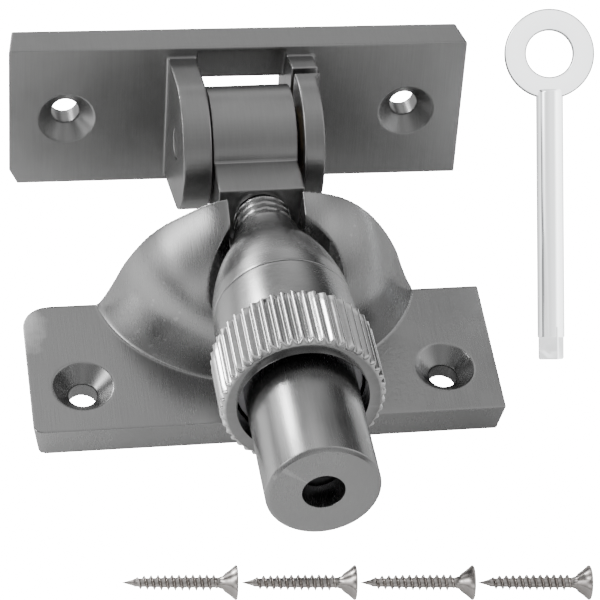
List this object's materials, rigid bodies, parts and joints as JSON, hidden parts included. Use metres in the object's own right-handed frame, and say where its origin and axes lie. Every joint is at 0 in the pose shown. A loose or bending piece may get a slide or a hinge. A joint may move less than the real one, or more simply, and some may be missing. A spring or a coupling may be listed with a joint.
{
  "type": "sash window fastener",
  "caption": "Lockable sash window fastener: a hinged screw arm drops into a horseshoe keeper and a knurled key-locked knob draws the sashes together, with key and wood screws.",
  "frame": {"origin": "centre of the keeper plate's underside, where it meets the window rail", "axes": "+Z out of the rail the keeper is screwed to, X along both plates, the hinge bracket at +Y and the knob pointing to -Y"},
  "size_m": [0.0839, 0.0872, 0.037],
  "materials": {
    "keeper_nickel": "satin nickel plate, brushed",
    "bracket_nickel": "satin nickel plate, brushed",
    "pin_steel": "plain turned steel",
    "washer_brass": "thin brass shim",
    "arm_nickel": "satin nickel plate",
    "stud_steel": "cut thread",
    "cross_pin_steel": "plain steel",
    "nose_nickel": "polished nickel plate",
    "snap_ring_steel": "dark spring steel",
    "body_nickel": "polished nickel plate",
    "ring_nickel": "knurled, nickel plate",
    "circlip_steel": "dark spring steel",
    "barrel_nickel": "satin nickel plate, turned",
    "lock_steel": "dark lock steel",
    "key_shank_chrome": "bright chrome",
    "key_bow_chrome": "bright chrome",
    "screw_steel": "bright stainless"
  },
  "bodies": {
    "keeper": {"keeper": "keeper_nickel"},
    "arm": {"swing_arm": "arm_nickel", "threaded_stud": "stud_steel", "stud_cross_pin": "cross_pin_steel"},
    "bracket": {"hinge_bracket": "bracket_nickel", "hinge_pin": "pin_steel", "hinge_washer": "washer_brass"},
    "nose": {"nose_cone": "nose_nickel", "nose_snap_ring": "snap_ring_steel"},
    "knob": {"knob_body": "body_nickel", "knurled_ring": "ring_nickel", "lock_barrel": "barrel_nickel", "barrel_circlip": "circlip_steel"},
    "lock": {"lock_screw": "lock_steel"},
    "key": {"key_shank": "key_shank_chrome", "key_bow": "key_bow_chrome"},
    "screw_1": {"wood_screw_1": "screw_steel"},
    "screw_2": {"wood_screw_2": "screw_steel"},
    "screw_3": {"wood_screw_3": "screw_steel"},
    "screw_4": {"wood_screw_4": "screw_steel"}
  },
  "joints": [
    {"name": "arm_swing", "type": "hinge", "parent": "keeper", "child": "arm", "pos_m": [0.0002, 0.0272, 0.02043], "axis": [1, 0, 0], "range_deg": [-86, 0]},
    {"name": "bracket_swing", "type": "hinge", "parent": "arm", "child": "bracket", "pos_m": [0.0002, 0.0272, 0.02043], "axis": [1, 0, 0], "range_deg": [-80, 25]},
    {"name": "nose_travel", "type": "slide", "parent": "arm", "child": "nose", "axis": [0, -0.9895, 0.1444], "range_m": [0, 0.00625]},
    {"name": "knob_turn", "type": "hinge", "parent": "nose", "child": "knob", "pos_m": [0.0002, 0, 0.02237], "axis": [0, -0.9895, 0.1444], "range_deg": [0, 1805]},
    {"name": "lock_turn", "type": "hinge", "parent": "knob", "child": "lock", "pos_m": [0.0002, -0.03364, 0.02728], "axis": [0, -0.9895, 0.1444], "range_deg": [-360, 360]},
    {"name": "key_lift", "type": "slide", "parent": "keeper", "child": "key", "axis": [1, 0, 0], "range_m": [0, 0.05]},
    {"name": "screw_1_lift", "type": "slide", "parent": "keeper", "child": "screw_1", "axis": [0, -1, 0], "range_m": [0, 0.03]},
    {"name": "screw_2_lift", "type": "slide", "parent": "keeper", "child": "screw_2", "axis": [0, -1, 0], "range_m": [0, 0.03]},
    {"name": "screw_3_lift", "type": "slide", "parent": "keeper", "child": "screw_3", "axis": [0, -1, 0], "range_m": [0, 0.03]},
    {"name": "screw_4_lift", "type": "slide", "parent": "keeper", "child": "screw_4", "axis": [0, -1, 0], "range_m": [0, 0.03]}
  ],
  "couplings": [
    {"joint": "knob_turn", "follows": "nose_travel", "rad_per_m": 5026.5}
  ]
}
